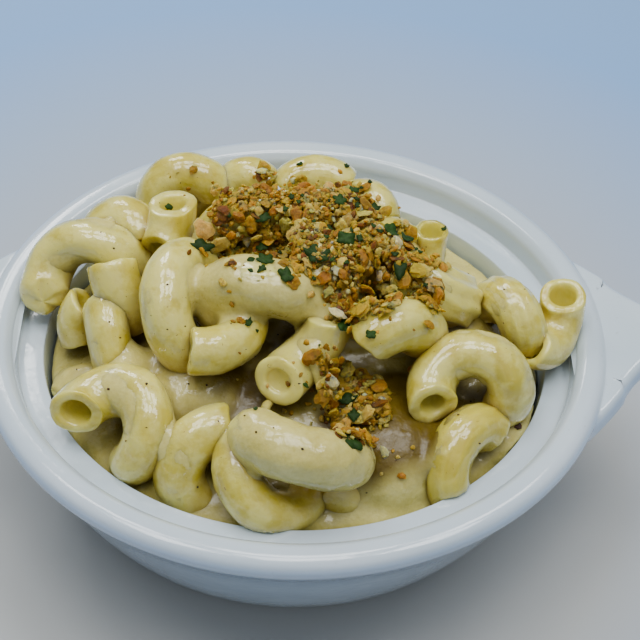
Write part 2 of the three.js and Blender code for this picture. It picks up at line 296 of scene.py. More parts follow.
def pasta_material():
    """Cooked pasta: a little see-through, wet, and filmed with sauce that bares yellow patches;
    with painted shade where it is closed in and painted light inside its holes.
    """
    m = Nodes("pasta")
    m.set(IOR=1.4, Subsurface_Weight=0.7, Subsurface_Scale=0.004,
          Coat_Weight=1.0, Coat_Roughness=0.04, Coat_IOR=1.6)
    m.shader.inputs["Subsurface Radius"].default_value = (1.0, 0.9, 0.4)
    lengthwise = m.add("ShaderNodeUVMap", uv_map="along").outputs["UV"]
    stretched = m.add("ShaderNodeMapping")
    stretched.inputs["Scale"].default_value = (22, 3, 1)
    m.link(lengthwise, stretched.inputs["Vector"])
    streaks = m.add("ShaderNodeTexNoise")
    streaks.inputs["Scale"].default_value = 1.0
    m.link(stretched.outputs["Vector"], streaks.inputs["Vector"])
    lines = streaks.outputs["Fac"]
    tone = m.ramp(m.noise(8, 3), (0.3, srgb(182, 163, 38)), (0.7, srgb(208, 195, 72)))
    tone = m.mix(0.2, tone, m.ramp(lines, (0.35, srgb(186, 166, 46)), (0.68, srgb(226, 218, 122))))
    cover = m.mix(1.0, m.noise(5.5, 4, 0.6), m.mix(1.0, m.attribute("film").outputs["Color"],
                                                   (0.5,) * 3, "MULTIPLY"), "ADD")
    cover = m.ramp(cover, (0.42, 0.0), (0.58, 0.9))
    tone = m.mix(cover, tone, srgb(219, 210, 116))
    specks = m.ramp(m.noise(0.55, 1, 0.4), (0.215, srgb(150, 120, 70)), (0.235, (1.0, 1.0, 1.0)))
    tone = m.mix(0.8, tone, specks, "MULTIPLY")
    # Painted shade: the pasta's colour goes dark amber where it is closed in from above.
    painted_shade = m.ramp(m.attribute("painted_shade").outputs["Fac"], (0.25, 0.0), (0.95, 0.9))
    tone = m.mix(painted_shade, tone, srgb(158, 120, 18))
    # Painted light: the inside of each hole is a brighter yellow, standing in for light coming
    # through the pasta.
    tone = m.mix(m.attribute("inner").outputs["Fac"], tone, srgb(220, 208, 92))
    m.connect(Base_Color=tone,
              Roughness=m.ramp(m.noise(2.2, 4), (0.35, 0.28), (0.7, 0.5)),
              Normal=m.bump(m.noise(0.8, 3), 0.25, 0.12, m.bump(
                  lines, 0.15, 0.2, m.bump(cover, 0.3, 0.2, m.bump(m.noise(2.6, 3), 0.6, 0.5)))),
              Coat_Normal=m.bump(cover, 0.25, 0.15, m.bump(m.noise(1.8, 2), 0.3, 0.15)))
    return m.material


def sauce_material():
    """Cheese sauce: pale and wet where it stands clear, with painted shade, dark amber and less
    coat, where it is closed in from above.
    """
    m = Nodes("sauce")
    m.set(IOR=1.42, Subsurface_Weight=0.5, Subsurface_Scale=0.0025,
          Coat_Roughness=0.07, Coat_IOR=1.5)
    m.shader.inputs["Subsurface Radius"].default_value = (1.0, 0.9, 0.5)
    tone = m.ramp(m.noise(6, 4, 0.6), (0.3, srgb(192, 180, 94)), (0.7, srgb(214, 204, 124)))
    grain = m.ramp(m.noise(0.7, 2), (0.3, srgb(222, 212, 160)), (0.6, (1.0, 1.0, 1.0)))
    tone = m.mix(0.3, tone, grain, "MULTIPLY")
    # Painted shade: dark amber where the sauce is closed in from above or lies in a listed spot.
    painted_shade = m.ramp(m.attribute("painted_shade").outputs["Fac"], (0.3, 0.0), (0.62, 0.5), (0.95, 1.0))
    tone = m.mix(painted_shade, tone, srgb(94, 76, 8))
    # The painted shade also takes away coat, so shaded sauce shows less reflection.
    m.connect(Base_Color=tone,
              Coat_Weight=m.ramp(m.attribute("painted_shade").outputs["Fac"], (0.3, 0.7), (0.8, 0.2)),
              Roughness=m.ramp(m.noise(2.4, 3), (0.35, 0.24), (0.7, 0.5)),
              Normal=m.bump(m.noise(0.5, 3), 0.25, 0.12, m.bump(m.noise(1.8, 3), 0.5, 0.4)),
              Coat_Normal=m.bump(m.noise(1.4, 2), 0.35, 0.15))
    return m.material


def tinted_material(name, low, high, size, **settings):
    """Small solids whose own tint, kept on the mesh, is broken up by fine noise."""
    m = Nodes(name)
    m.set(**settings)
    m.shader.inputs["Subsurface Radius"].default_value = (1.0, 0.8, 0.3)
    tint = m.attribute("tint").outputs["Color"]
    shade = m.ramp(m.noise(size, 4, 0.7), (0.3, low), (0.68, high))
    m.connect(Base_Color=m.mix(1.0, tint, shade, "MULTIPLY"),
              Normal=m.bump(m.noise(size * 0.6, 3), 0.5, 0.12))
    return m.material


glaze = glaze_material()
pasta = pasta_material()
sauce_skin = sauce_material()
toast = tinted_material("toast", 0.55, 1.1, 0.8, Roughness=0.65, Specular_IOR_Level=0.25,
                        Subsurface_Weight=1.0, Subsurface_Scale=0.002)
leaf = tinted_material("leaf", 0.6, 1.1, 0.6, Roughness=0.6, Specular_IOR_Level=0.15)

# ------------------------------------------------------------------ the dish


def ring_faces(rings, sides):
    """Quads between each ring of points and the next."""
    faces = []
    for i in range(rings - 1):
        here, there = i * sides, (i + 1) * sides
        for j in range(sides):
            k = (j + 1) % sides
            faces.append((here + j, there + j, there + k, here + k))
    return faces


def make_bowl():
    """The dish without its ears, turned round from its outer and inner profiles."""
    sides = OVAL_SIDES
    profile = spline(OUTSIDE_PROFILE + INSIDE_PROFILE[:-1], 4)
    points = [oval_point(max(inset, 0), 2 * math.pi * j / sides, min(max(z, 0), RIM_HEIGHT))
              for inset, z in profile for j in range(sides)]
    faces = [tuple(reversed(f)) for f in ring_faces(len(profile), sides)]
    base, floor = len(points), len(points) + 1
    points += [(0, 0, FOOT_RECESS), (0, 0, FLOOR)]
    top = (len(profile) - 1) * sides
    for j in range(sides):
        k = (j + 1) % sides
        faces.append((base, k, j))
        faces.append((floor, top + j, top + k))
    return points, faces


def ear_outline(edge):
    """The +X ear seen from above, drawn in by `edge`, from its root at -Y round to +Y."""
    tip = EAR_TIP - edge

    def bezier(a, b, c, d, steps):
        out = []
        for k in range(steps):
            t = k / steps
            out.append(tuple((1 - t) ** 3 * p + 3 * (1 - t) ** 2 * t * q + 3 * (1 - t) * t * t * r
                             + t ** 3 * s for p, q, r, s in zip(a, b, c, d)))
        return out

    root = (RIM_HALF_LENGTH - 7.6, -EAR_ROOT_HALF + edge)
    shoulder = (RIM_HALF_LENGTH + 1, -15.2 + edge * 0.9)
    side = (tip - 6.5, -8.4 + edge * 0.4)
    half = bezier(root, (RIM_HALF_LENGTH - 4, -20.8 + edge), (RIM_HALF_LENGTH - 1.6, -18.4 + edge),
                  shoulder, 10)
    half += bezier(shoulder, (tip - 11, -12.6 + edge * 0.6), (tip - 8.6, -10.5 + edge * 0.5),
                   side, 8)
    half += bezier(side, (tip - 2.6, -4), (tip, -3.4), (tip, 0), 12)
    return half + [(tip, 0)] + [(x, -y) for x, y in reversed(half)]


def make_ear(turn):
    """A soft-edged tab, tilted up about its root, whose root lies inside the lip."""
    quarter = [math.pi / 2 * k / (EAR_ARC - 1) for k in range(EAR_ARC)]
    layers = [(EAR_EDGE * 2.4, -EAR_THICK + 0.05)]
    layers += [(EAR_EDGE * (1 - math.sin(a)), -EAR_THICK + EAR_EDGE * (1 - math.cos(a)))
               for a in quarter]
    layers += [(EAR_EDGE * (1 - math.cos(a)), -EAR_EDGE + EAR_EDGE * math.sin(a)) for a in quarter]
    layers.append((EAR_EDGE * 2.4, -0.05))
    points = [(x - RIM_HALF_LENGTH, y, height)
              for edge, height in layers for x, y in ear_outline(edge)]
    count = len(points) // len(layers)
    faces = ring_faces(len(layers), count)
    faces.append(tuple(reversed(range(count))))
    faces.append(tuple(range((len(layers) - 1) * count, len(layers) * count)))
    cos, sin = math.cos(EAR_TILT), math.sin(EAR_TILT)
    points = [((x * cos - z * sin + RIM_HALF_LENGTH) * turn, y * turn,
               x * sin + z * cos + RIM_HEIGHT - EAR_DROP) for x, y, z in points]
    return points, [tuple(reversed(f)) for f in faces]


def face_outwards(mesh):
    """Turns the faces of closed shells outwards."""
    bm = bmesh.new()
    bm.from_mesh(mesh)
    bmesh.ops.triangulate(bm, faces=[f for f in bm.faces if len(f.verts) > 4])
    bmesh.ops.recalc_face_normals(bm, faces=bm.faces)
    bm.to_mesh(mesh)
    bm.free()


def make_dish():
    """The bowl and both ears as one solid."""
    points, faces = make_bowl()
    obj = new_object("dish_glazed", points, faces, glaze)
    face_outwards(obj.data)
    for turn in (1, -1):
        ear_points, ear_faces = make_ear(turn)
        ear = new_object("ear", ear_points, ear_faces, glaze)
        face_outwards(ear.data)
        union = obj.modifiers.new("ear", "BOOLEAN")
        union.operation = "UNION"
        union.solver = "MANIFOLD"
        union.object = ear
        baked(obj)
        bpy.data.objects.remove(ear)
    soften_ear_roots(obj.data)
    return obj


def soften_ear_roots(mesh):
    """Glaze fills the corner where each ear leaves the lip."""
    bm = bmesh.new()
    bm.from_mesh(mesh)
    bmesh.ops.triangulate(bm, faces=[f for f in bm.faces if len(f.verts) > 4])
    near = [v for v in bm.verts
            if -0.5 < inset_of(v.co.x / MM, v.co.y / MM) < 3 and abs(v.co.y) < 26 * MM
            and v.co.z > 34.5 * MM and not v.is_boundary]
    for _ in range(2):
        bmesh.ops.smooth_vert(bm, verts=near, factor=0.3, use_axis_x=True, use_axis_y=True,
                              use_axis_z=True)
    for face in bm.faces:
        face.smooth = True
    bm.to_mesh(mesh)
    bm.free()


# ------------------------------------------------------------------ noodles

# Each noodle: tube radius, crown, run (heading, climb, roll), bend radius, sweep, slip, and how
# far sauce stands over it (less than nothing where the pasta shows).
NOODLES = [
    # left side, from the back corner forwards
    (4.7, (-44.2, 13.5, 49.5), (-40, 50, -15), 5, 265, 24, -0.3),
    (4.7, (-35, 20, 50), (-20, 15, -40), 5, 155, 0, -0.3),
    (4.8, (-25, 15, 52.5), (-130, -45, 175), 9, 65, -16, -0.3),
    (4.8, (-33.5, 0.5, 48.5), (-20, -40, 65), 8.5, 80, -26, -0.3),
    (4.3, (-42.5, 0.5, 41), (-115, -65, 60), 8, 60, 0, -0.3),
    (4.4, (-35.5, -7, 45), (-80, -40, 5), 7.5, 105, 4, -0.3),
    (3.6, (-41.6, -9.5, 34), (10, 20, -15), 7.5, 60, 0, 0.2),
    (4.9, (-24.5, -4.5, 56), (-90, -15, 30), 9, 205, -4, -0.3),
    (4.9, (-28.5, -21.5, 45), (-65, 20, -55), 5, 310, 16, -0.3),
    # front, from left to right
    (4.8, (-21, -31.5, 38.5), (-120, -65, 45), 7.5, 180, 4, -0.3),
    (4.7, (-5.5, -40, 37), (-5, -35, 100), 8, 205, 0, -0.3),
    (5.0, (1, -36.5, 49), (-5, -10, 50), 9.5, 140, -4, 0.3),
    (4.0, (10, -35, 32.5), (-5, -40, 40), 7.5, 70, 0, -0.3),
    (4.7, (29, -27.5, 40.5), (-120, -20, 25), 7, 185, -2, -0.3),
    # middle
    (4.7, (-11, -12, 51), (60, -15, 90), 9, 130, 2, -0.3),
    (4.9, (-10, -4.5, 58.5), (135, -15, -20), 6, 230, 18, 0.35),
    (4.8, (2, -13, 48), (15, 15, -165), 7.5, 125, -26, -0.3),
    (5.0, (19.5, -10.5, 54), (35, -20, 5), 7, 125, -6, -0.3),
    (5.3, (25, 0.5, 52.5), (-15, -25, 45), 8.5, 120, 4, -0.3),
    # right side
    (4.8, (33.2, -12.5, 49), (-30, 20, -40), 5.5, 290, 20, -0.3),
    (4.4, (40.5, 1, 48.5), (-75, 10, 0), 4.5, 235, 8, -0.3),
    (4.4, (49, -3.5, 41.2), (70, -15, 155), 5.5, 235, 12, -0.3),
    (3.6, (26.5, 17, 45), (-70, -50, -155), 8, 75, 16, -0.3),
    (3.9, (19.5, 17, 49.5), (35, -40, -20), 5.5, 125, 0, -0.3),
    # under the crumbs
    (4.6, (-11, 14, 57), (10, 0, -30), 6, 130, 0, 0.0),
    (4.6, (3.5, 14.5, 58), (0, -5, -50), 7, 115, 0, 0.0),
    (4.6, (13.5, 6.5, 56), (25, -30, -35), 6.5, 130, 2, 0.0),
    (4.6, (5.5, 1, 57.5), (-55, -25, -40), 7.5, 100, -2, 0.35),
    # along the back
    (4.5, (-24, 35.2, 48.5), (-5, 10, -15), 6.5, 165, 6, -0.3),
    (4.1, (-10.5, 36, 47.5), (-15, 15, -40), 5, 120, 0, -0.3),
    (4.4, (3.5, 35.5, 48.5), (5, 0, -40), 7.5, 105, 0, -0.3),
    (4.3, (14, 28, 49.5), (-35, 20, -30), 4, 170, 0, -0.3),
    (4.4, (-14, 38.2, 40), (170, 5, 15), 9, 120, 0, -0.3),
    (4.4, (6, 38.5, 40), (-5, 10, -10), 8, 125, 4, -0.3),
    # half sunk at the back right, and seen from behind alone
    (4.2, (27, 30, 32.5), (-55, 0, -75), 7, 110, 0, -0.1),
]


# What some noodles do differently, by their place in the list: where they really begin, how wide
# their hole is, how deep the hole in their first end is (less than nothing where it is clogged),
# their ridges (how many, how high), how much sauce films them, and how torn their first end is.
SPECIAL = {
    0: {"plug": -1, "ragged": 0.7, "film": 0.2},
    7: {"film": 0.15},
    16: {"plug": 0.5, "film": 0.3},
    18: {"ridges": (9, 0.34), "film": 0.8},
    20: {"ridges": (11, 0.16)},
    8: {"bore": 0.6},
    21: {"begin": 0.24, "bore": 0.62},
    22: {"bore": 0.62},
    13: {"ridges": (12, 0.1), "film": -0.3},
    11: {"film": 0.7},
}
DEFAULTS = {"begin": 0.0, "bore": BORE, "plug": None, "ridges": (17, 0.03), "film": 0.0,
            "ragged": 0.0}


class Curl:
    """A noodle's middle line: a turn of corkscrew with its crown at a given place."""

    def __init__(self, index):
        self.radius, crown, run, self.bend, sweep, self.slip, self.coat = NOODLES[index]
        for key, value in {**DEFAULTS, **SPECIAL.get(index, {})}.items():
            setattr(self, key, value)
        heading, climb, roll = map(math.radians, run)
        self.along = Vector((math.cos(climb) * math.cos(heading),
                             math.cos(climb) * math.sin(heading), math.sin(climb)))
        left = Vector((-math.sin(heading), math.cos(heading), 0))
        down = left.cross(self.along)
        self.inward = down * math.cos(roll) + left * math.sin(roll)
        self.across = self.along.cross(self.inward)
        self.crown = Vector(crown)
        self.sweep = math.radians(sweep)
        self.length = self.sweep * math.hypot(self.bend, self.slip / (2 * math.pi))
        self.length *= 1 - self.begin

    def frame(self, share):
        """The middle line's point and the section's two directions, at a share of the length."""
        a = self.sweep * (self.begin + (1 - self.begin) * share - 0.5)
        point = (self.crown + self.along * self.bend * math.sin(a)
                 + self.inward * self.bend * (1 - math.cos(a))
                 + self.across * self.slip * a / (2 * math.pi))
        ahead = (self.along * self.bend * math.cos(a) + self.inward * self.bend * math.sin(a)
                 + self.across * self.slip / (2 * math.pi)).normalized()
        outward = self.along * math.sin(a) - self.inward * math.cos(a)
        side = ahead.cross(outward).normalized()
        return point, side.cross(ahead), side, ahead


RIM = [(0.42, 1.0, 0.0), (0.2, 0.975, 0.0), (0.05, 0.91, 0.0), (0.0, 0.82, 0.0)]


def end_rings(curl, depth, bore):
    """An open end from the outside in: (distance from the end, share of the radius, inside)."""
    if depth < 0:  # clogged: a lumpy dome in place of the hole
        return [(2.6, 1.0, 0.0), (1.6, 0.96, 0.0), (0.8, 0.86, 0.0), (0.2, 0.68, 0.0),
                (-0.2, 0.45, 0.0), (-0.4, 0.22, 0.0), (-0.45, 0.03, 0.0)]
    lip = bore + 0.4 / curl.radius
    rings = RIM + [(0.0, lip + 0.06, 0.0), (0.08, lip - 0.02, 0.2), (0.4, bore, 0.6)]
    depth = max(depth, 0.7)
    return rings + [(0.4 + (depth - 0.4) * k / 4, bore, 1.0) for k in range(1, 4)] + [
        (depth, bore * 0.88, 1.0), (depth + 0.35, bore * 0.5, 1.0), (depth + 0.4, 0.04, 1.0)]


def tube_rings(curl, bore):
    """A noodle's rings from end to end: (distance along it, share of the radius, inside)."""
    steps = max(int(curl.length / TUBE_STEP), 8)
    hollow = min(BORE_DEPTH, curl.length * 0.42)
    start = end_rings(curl, hollow if curl.plug is None else curl.plug, bore)
    clear = start[0][0]
    middle = [(clear + (curl.length - 2 * clear) * k / steps, 1.0, 0.0) for k in range(1, steps)]
    finish = [(curl.length - at, share, inside)
              for at, share, inside in end_rings(curl, hollow, bore)]
    return start[::-1] + middle + finish


def make_noodles():
    """Every noodle as a tube with rounded cut ends and a blind hole in each, in one mesh."""
    points, faces, inner, along, film = [], [], [], [], []
    for index in range(len(NOODLES)):
        curl = Curl(index)
        rng = random.Random(index)
        sequence = tube_rings(curl, curl.bore * rng.uniform(0.92, 1.06))
        first = len(points)
        squash, lean = rng.uniform(0.02, 0.07), rng.uniform(0, math.pi)
        ridges, ridge_height = curl.ridges
        slant = [Vector((rng.uniform(-0.14, 0.14), rng.uniform(-0.14, 0.14))) for _ in range(2)]
        for at, share, inside in sequence:
            t = at / curl.length
            centre, outward, side, ahead = curl.frame(t)
            tilt = slant[0] * min(1, max(0, 1 - t * 6)) + slant[1] * max(0, 1 - (1 - t) * 6)
            rough = 1 + curl.ragged * 8 * min(1, max(0, 1 - t * 7))
            torn = (0.6 + 2 * curl.ragged) * max(0, 1 - 5 * max(0, min(t, 1 - t))) ** 2
            for j in range(TUBE_SIDES):
                a = 2 * math.pi * j / TUBE_SIDES
                radius = curl.radius * share * (1 + squash * math.cos(2 * (a - lean)))
                spot = centre + (outward * math.cos(a) + side * math.sin(a)) * radius
                spot += ahead * radius * (tilt.x * math.cos(a) + tilt.y * math.sin(a))
                spot += ahead * torn * share * noise_at(
                    (2 * math.cos(a), 2 * math.sin(a), t > 0.5), 1.3, index)
                swell = 0.2 * noise_at(spot, 5.5, index) + 0.1 * rough * noise_at(spot, 2.2, index)
                swell += ridge_height * math.cos(ridges * a + 2 * noise_at(spot, 6, index))
                spot += (spot - centre).normalized() * (swell - 0.14) * min(1.0, share * share)
                points.append(clear_of_dish(spot))
                # How much painted light inside the hole a point gets, less at a clogged end.
                inner.append(inside * (0.35 if curl.plug is not None and t < 0.3 else 1.0))
                along.append((j / TUBE_SIDES, at / 30 + index * 0.37))
                film.append(curl.film)
        faces += [tuple(first + v for v in f) for f in ring_faces(len(sequence), TUBE_SIDES)]
        last = len(points) - TUBE_SIDES
        faces.append(tuple(range(first, first + TUBE_SIDES)))
        faces.append(tuple(reversed(range(last, last + TUBE_SIDES))))
    obj = new_object("noodles", points, faces, pasta)
    face_outwards(obj.data)
    mesh = obj.data
    for name, values in (("inner", inner), ("film", film)):
        mesh.attributes.new(name, "FLOAT", "POINT").data.foreach_set("value", values)
    uv = mesh.uv_layers.new(name="along")
    for loop in mesh.loops:
        uv.data[loop.index].uv = along[loop.vertex_index]
    return obj


# ------------------------------------------------------------------ sauce

# The mass under the noodles: a low dome, as (inset, height), and mounds as (middle, half sizes).
DOME = [(RIM_HALF_LENGTH, FLOOR), (22, 8.5), (17, 13.5), (14, 21), (12.9, 28), (12.5, 32.5),
        (22, 36.5), (34, 41), (RIM_HALF_LENGTH, 44)]
MOUNDS = [
    ((3, 12, 40), (26, 20, 15)), ((2, 27, 34), (27, 14, 10)), ((-28, 12, 34), (14, 15, 10)),
    ((-20, -13, 36), (13, 12, 10)), ((17, -24, 34), (12, 13, 10)), ((28, 3, 36), (14, 13, 11)),
    ((39, -13, 33), (7.5, 13, 5.5)), ((-31.5, -12, 41), (5, 6, 5)),
]
# Spots of painted shade, added to the sauce's shade from above, where it lies dark between the
# noodles: middle, radius and how dark.
SHADE_SPOTS = [((17, -24, 43.5), 14, 1.4), ((8, -28, 42), 8, 0.5), ((-10, -18, 42), 7, 0.3)]
# Strings of sauce between noodles: a radius at each of the points they pass through.
STRANDS = [
    [(-5.2, -21.5, 44.6, 1.7), (-5.8, -25.0, 46.0, 1.6), (-6.2, -27.8, 48.5, 2.0)],
    [(6.6, -6.5, 55.5, 2.6), (5.6, -9.0, 54.0, 2.2), (4.2, -12.2, 52.6, 2.0),
     (2.8, -15.0, 51.6, 2.4)],
    [(3.0, -16.5, 51.0, 2.2), (4.2, -19.0, 48.0, 1.8), (6.0, -21.5, 44.6, 2.0)],
]


def add_lathe(bm, profile):
    """A closed oval solid, turned from (inset, height) rows that begin and end in its middle."""
    sides = DOME_SIDES
    rows = [[bm.verts.new(oval_point(inset, 2 * math.pi * j / sides, z)) for j in range(sides)]
            for inset, z in profile[1:-1]]
    low = bm.verts.new((0, 0, profile[0][1]))
    high = bm.verts.new((0, 0, profile[-1][1]))
    for j in range(sides):
        k = (j + 1) % sides
        bm.faces.new((low, rows[0][k], rows[0][j]))
        bm.faces.new((high, rows[-1][j], rows[-1][k]))
        for a, b in zip(rows, rows[1:]):
            bm.faces.new((a[j], a[k], b[k], b[j]))


def add_ball(bm, middle, half, segments=32):
    matrix = Matrix.Translation(middle) @ Matrix.Diagonal((*half, 1))
    bmesh.ops.create_uvsphere(bm, u_segments=segments, v_segments=segments // 2, radius=1,
                              matrix=matrix)


def add_rod(bm, places):
    """A closed rod through (centre, direction, direction, radius) places."""
    sides = ROD_SIDES
    rows = [[bm.verts.new(c + (u * math.cos(2 * math.pi * j / sides)
                               + v * math.sin(2 * math.pi * j / sides)) * r) for j in range(sides)]
            for c, u, v, r in places]
    for a, b in zip(rows, rows[1:]):
        for j in range(sides):
            k = (j + 1) % sides
            bm.faces.new((a[j], a[k], b[k], b[j]))
    bm.faces.new(list(reversed(rows[0])))
    bm.faces.new(rows[-1])


def coated(curl):
    """The rod that gives a noodle its coat of sauce. Its open ends stay bare."""
    bare = 0.0 if curl.coat > 0 else min(BARE_END / curl.length, 0.42)
    out = []
    for k in range(ROD_STEPS + 1):
        t = bare + (1 - 2 * bare) * k / ROD_STEPS
        centre, outward, side, _ = curl.frame(t)
        fold = 0.0
        if curl.coat > 0.3:
            fold = 0.3 * math.sin(t * curl.length * 1.5) * (0.5 + 0.5 * noise_at(centre, 6, 3))
        out.append((centre, outward, side, curl.radius + curl.coat + SETTLE + fold))
    return out


def add_strand(bm, strand):
    """A string of sauce: small balls from each of its points to the next."""
    for (*a, ra), (*b, rb) in zip(strand, strand[1:]):
        for k in range(5):
            t = k / 4
            radius = ra + (rb - ra) * t
            add_ball(bm, Vector(a).lerp(Vector(b), t), (radius, radius * 0.8, radius * 0.8), 12)


def make_sauce():
    """The mass, its mounds, the noodles' coats and the strands, melted into one skin."""
    bm = bmesh.new()
    add_lathe(bm, DOME)
    for middle, half in MOUNDS:
        add_ball(bm, middle, half)
    for index in range(len(NOODLES)):
        add_rod(bm, coated(Curl(index)))
    for strand in STRANDS:
        add_strand(bm, strand)
    mesh = bpy.data.meshes.new("sauce")
    bm.to_mesh(mesh)
    bm.free()
    obj = linked("sauce", mesh)
    remesh = obj.modifiers.new("voxels", "REMESH")
    remesh.mode = "VOXEL"
    remesh.voxel_size = SAUCE_VOXEL
    smooth = obj.modifiers.new("settle", "SMOOTH")
    smooth.factor = 0.5
    smooth.iterations = SAUCE_SMOOTHING
    baked(obj)
    mesh = obj.data
    places = []
    for vertex in mesh.vertices:
        lift = 0.22 * noise_at(vertex.co, 3.4, 7) + 0.12 * noise_at(vertex.co, 1.5, 9)
        x, y, z = clear_of_dish(vertex.co + vertex.normal * lift)
        over = z - NEAR_TOP
        places.append((x, y, z if over < 0 else NEAR_TOP + over / (1 + 0.1 * over)))
    mesh.vertices.foreach_set("co", [c * MM for place in places for c in place])
    mesh.polygons.foreach_set("use_smooth", [True] * len(mesh.polygons))
    mesh.materials.clear()
    mesh.materials.append(sauce_skin)
    mesh.update()
    return obj


# ------------------------------------------------------------------ toppings


class Surface:
    """Where things that fall on the objects come to rest, and what shuts a place in from above, for
    the painted shade.
    """

    def __init__(self, *objects):
        self.trees = []
        for obj in objects:
            bm = bmesh.new()
            bm.from_mesh(obj.data)
            self.trees.append(BVHTree.FromBMesh(bm))
            bm.free()

    def hit(self, start, direction):
        """The first place met from a point in millimetres, and its normal."""
        best = None
        for tree in self.trees:
            place, normal, _, distance = tree.ray_cast(start * MM, direction)
            if place and (best is None or distance < best[2]):
                best = (place, normal, distance)
        return (best[0] / MM, best[1]) if best else None

    def drop(self, x, y):
        """The first place met straight down."""
        return self.hit(Vector((x, y, 90)), Vector((0, 0, -1)))


SKY_REACH = 16.0  # how far off something may be and still shade a point


def sky_directions():
    """Straight up, and two rings of directions round it."""
    out = [Vector((0, 0, 1))]
    for count, tilt in ((4, 28), (6, 52)):
        for k in range(count):
            a = 2 * math.pi * (k + tilt / 90) / count
            t = math.radians(tilt)
            out.append(Vector((math.sin(t) * math.cos(a), math.sin(t) * math.sin(a), math.cos(t))))
    return out


def mark_painted_shade(obj, surface, shade_spots=()):
    """Keeps on the mesh how closed in each point is from above, 0 in the open to 1, plus the listed
    spots; the materials paint it as shade.
    """
    mesh = obj.data
    sky = sky_directions()
    values = numpy.zeros(len(mesh.vertices))
    for index, vertex in enumerate(mesh.vertices):
        start = vertex.co + vertex.normal * 0.5 * MM
        for direction in sky:
            for tree in surface.trees:
                if tree.ray_cast(start, direction, SKY_REACH * MM)[0]:
                    values[index] += 1
                    break
    values /= len(sky)
    ends = numpy.empty(2 * len(mesh.edges), int)
    mesh.edges.foreach_get("vertices", ends)
    ends = ends.reshape(-1, 2)
    joined = numpy.maximum(numpy.bincount(ends.ravel(), minlength=len(values)), 1)
    for _ in range(4):
        total = numpy.bincount(ends[:, 0], values[ends[:, 1]], len(values))
        total += numpy.bincount(ends[:, 1], values[ends[:, 0]], len(values))
        values = (values + total / joined) / 2
    # Spots of painted shade, darkest in their middles.
    for middle, radius, depth in shade_spots:
        for index, vertex in enumerate(mesh.vertices):
            away = (vertex.co / MM - Vector(middle)).length / radius
            if away < 1:
                values[index] += depth * (1 - away * away)
    mesh.attributes.new("painted_shade", "FLOAT", "POINT").data.foreach_set("value", values)


class Pile:
    """Many small solids in one mesh, each with its own tint."""

    def __init__(self):
        self.points, self.faces, self.tints = [], [], []

    def add(self, points, faces, tint):
        first = len(self.points)
        self.points += [tuple(p) for p in points]
        self.faces += [tuple(first + i for i in f) for f in faces]
        self.tints += [(*tint, 1.0)] * len(points)

    def make(self, name, material, smooth):
        obj = new_object(name, self.points, self.faces, material, smooth)
        layer = obj.data.color_attributes.new("tint", "FLOAT_COLOR", "POINT")
        layer.data.foreach_set("color", [c for tint in self.tints for c in tint])
        return obj


def sunk(points):
    """The points let down, where they have to be, to stand no higher than the food's top."""
    over = max(0.0, max(p.z for p in points) - FOOD_TOP)
    return [p - Vector((0, 0, over)) for p in points]


def ball(subdivisions):
    """The points and faces of a ball with a radius of 1."""
    bm = bmesh.new()
    bmesh.ops.create_icosphere(bm, subdivisions=subdivisions, radius=1)
    bm.verts.index_update()
    out = [v.co.copy() for v in bm.verts], [tuple(v.index for v in f.verts) for f in bm.faces]
    bm.free()
    return out


GRAIN, LUMP = ball(1), ball(2)


def shard(rng, size, flat):
    """A craggy crumb: a ball pulled about, squashed, and longer than it is wide."""
    directions, faces = LUMP if size > LUMP_SIZE else GRAIN
    where, narrow = rng.uniform(0, 50), rng.uniform(0.55, 0.95)
    points = []
    for d in directions:
        reach = 1 + 0.45 * noise_at(d, 0.8, where) + rng.uniform(-0.22, 0.16)
        points.append(Vector((d.x, d.y * narrow, d.z * flat)) * size * reach)
    return points, faces


